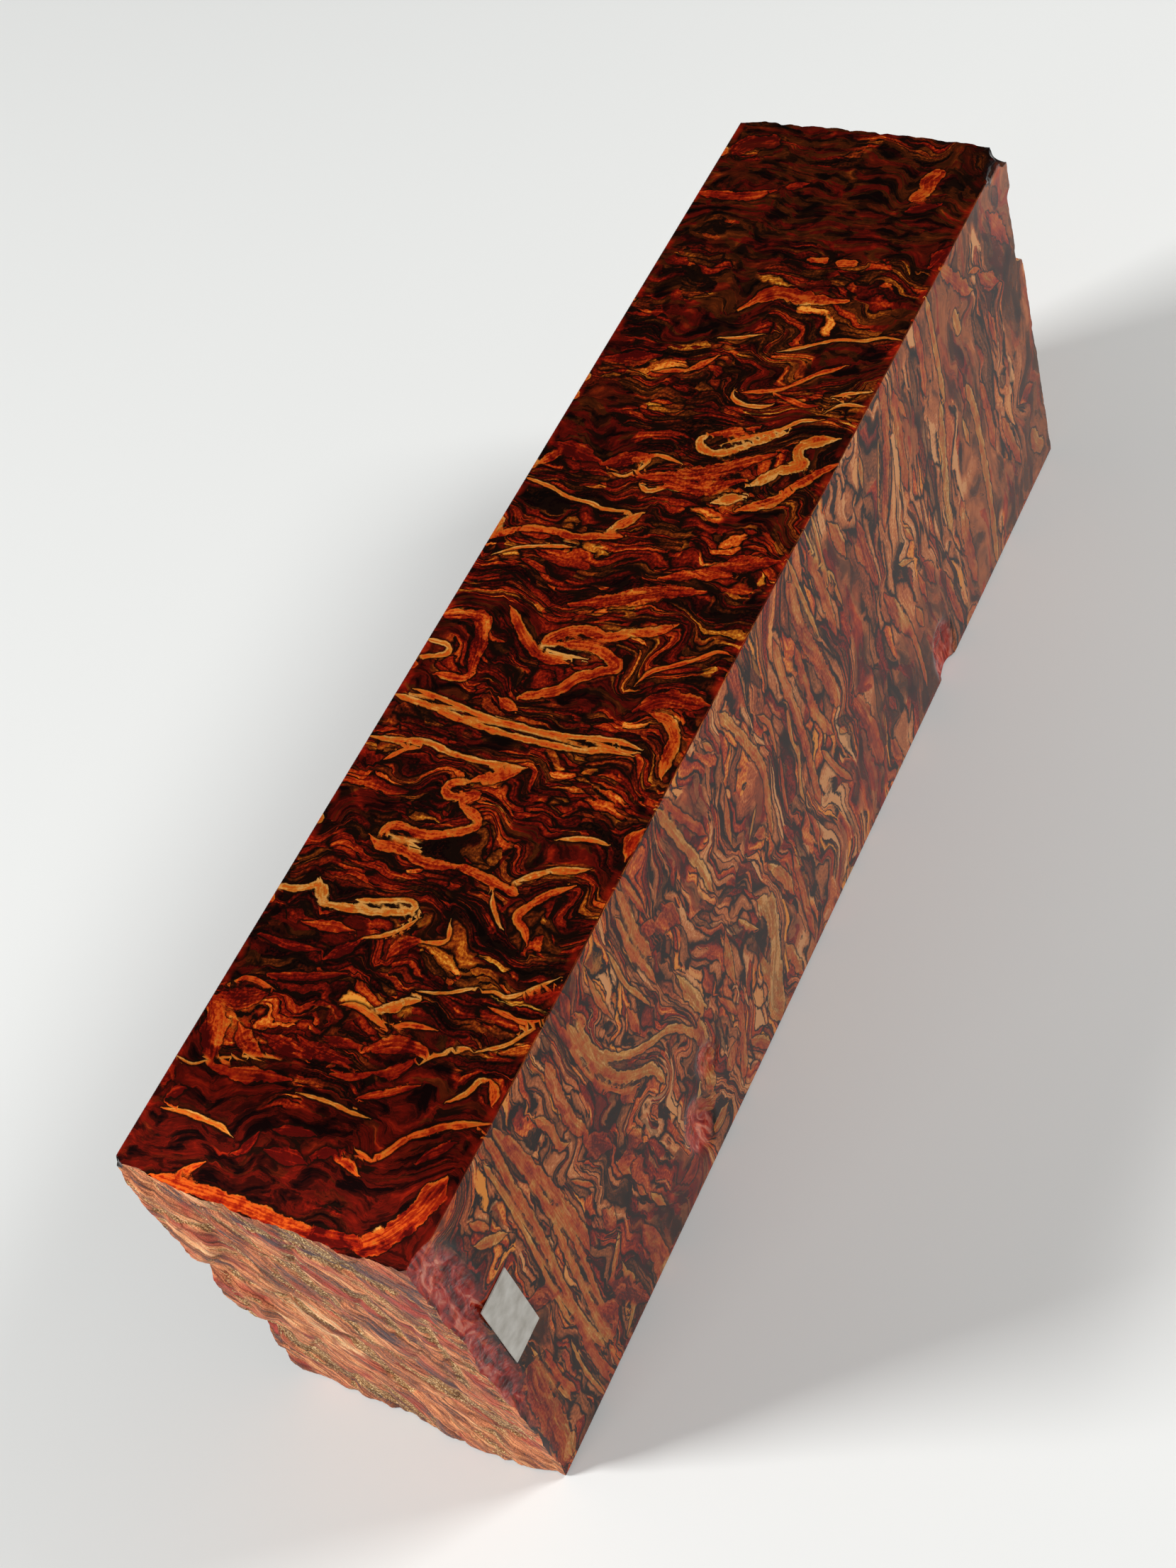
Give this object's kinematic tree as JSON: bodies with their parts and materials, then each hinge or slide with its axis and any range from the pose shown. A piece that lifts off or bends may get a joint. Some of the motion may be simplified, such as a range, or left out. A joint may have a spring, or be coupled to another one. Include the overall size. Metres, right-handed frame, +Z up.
{
  "type": "stabilized wood resin block",
  "caption": "Rectangular blank of dyed plant scales set in clear resin, with polished long faces and rough ends; sawn into handles, pens or knobs.",
  "frame": {"origin": "middle of the underside, on the narrow long face that the block stands on", "axes": "+X along the length, away from the end with the paper slip; +Z up; -Y out of the broad face that carries the slip"},
  "size_m": [0.1318, 0.0304, 0.045],
  "materials": {
    "dyed_scales_in_resin": "polished",
    "paper": "matte"
  },
  "bodies": {
    "root": {"block": "dyed_scales_in_resin", "label": "paper"}
  },
  "joints": []
}
